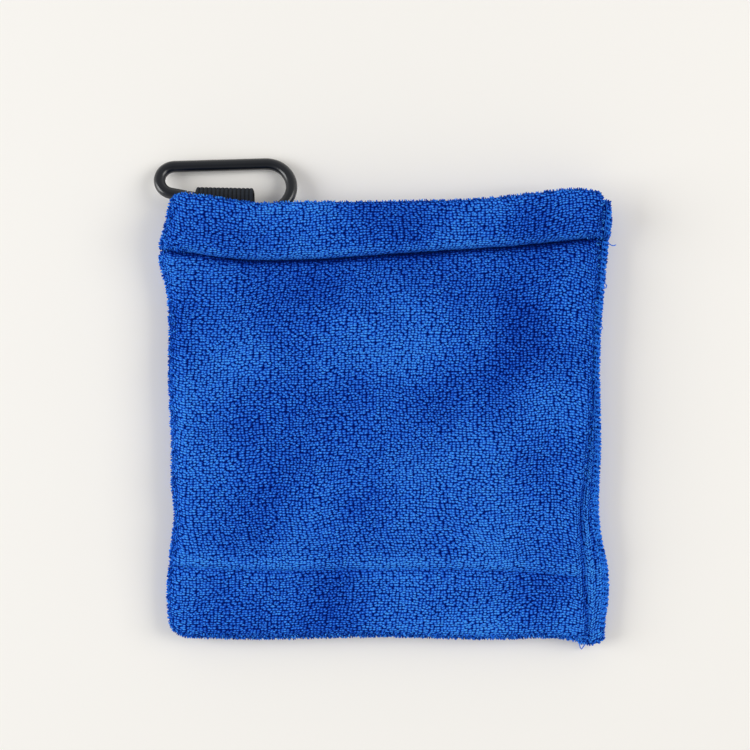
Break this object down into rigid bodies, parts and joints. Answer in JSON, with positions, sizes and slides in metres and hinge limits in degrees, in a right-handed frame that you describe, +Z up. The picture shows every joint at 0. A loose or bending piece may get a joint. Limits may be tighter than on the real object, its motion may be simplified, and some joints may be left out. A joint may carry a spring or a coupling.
{
  "type": "golf towel",
  "caption": "Flat terry cloth pouch with a hemmed mouth, a sewn side and a small spring-gate carabiner held in a webbing loop.",
  "frame": {"origin": "middle of the towel's underside, on the surface it lies on", "axes": "+X from the folded side to the sewn side, +Y from the closed end to the mouth, +Z up"},
  "size_m": [0.1597, 0.166, 0.0165],
  "materials": {
    "terry": "blue microfibre terry, looped pile",
    "terry_seam": "blue terry, raw overlocked edges",
    "thread": "blue polyester thread",
    "webbing": "black ribbed nylon tape",
    "black_thread": "black polyester thread",
    "black_aluminium": "black anodised, satin",
    "steel": "plain steel"
  },
  "bodies": {
    "root": {"back_panel": "terry", "front_panel": "terry", "side_fold": "terry", "mouth_hem_back": "terry", "mouth_hem_front": "terry", "bottom_hem": "terry", "side_seam": "terry_seam", "mouth_stitches_front": "thread", "mouth_stitches_back": "thread", "bottom_stitches": "thread", "side_stitches": "thread", "overlock_thread": "thread", "thread_tails": "thread", "loop_tack": "black_thread"},
    "webbing": {"webbing_loop": "webbing"},
    "carabiner": {"carabiner_frame": "black_aluminium"},
    "gate_arm": {"gate": "black_aluminium", "gate_pin": "steel", "latch_pin": "steel", "spring_plunger": "steel", "gate_spring": "steel"}
  },
  "joints": [
    {"name": "carabiner_swing", "type": "hinge", "parent": "root", "child": "carabiner", "pos_m": [-0.06665, 0.07654, 0.00653], "axis": [-0.9808, 0.1915, -0.037], "range_deg": [-40, 0]},
    {"name": "gate_open", "type": "hinge", "parent": "carabiner", "child": "gate_arm", "pos_m": [-0.06665, 0.07654, 0.00653], "axis": [0.0242, 0.3081, 0.9511], "range_deg": [0, 22], "stiffness_Nm_per_rad": 0.02, "springref_deg": -40.11},
    {"name": "loop_follow", "type": "hinge", "parent": "root", "child": "webbing", "pos_m": [-0.06665, 0.07654, 0.00653], "axis": [0.0242, 0.3081, 0.9511], "range_deg": [0, 22], "deforming": ["webbing_loop"]}
  ],
  "couplings": [
    {"joint": "loop_follow", "follows": "gate_open", "ratio": 1}
  ]
}
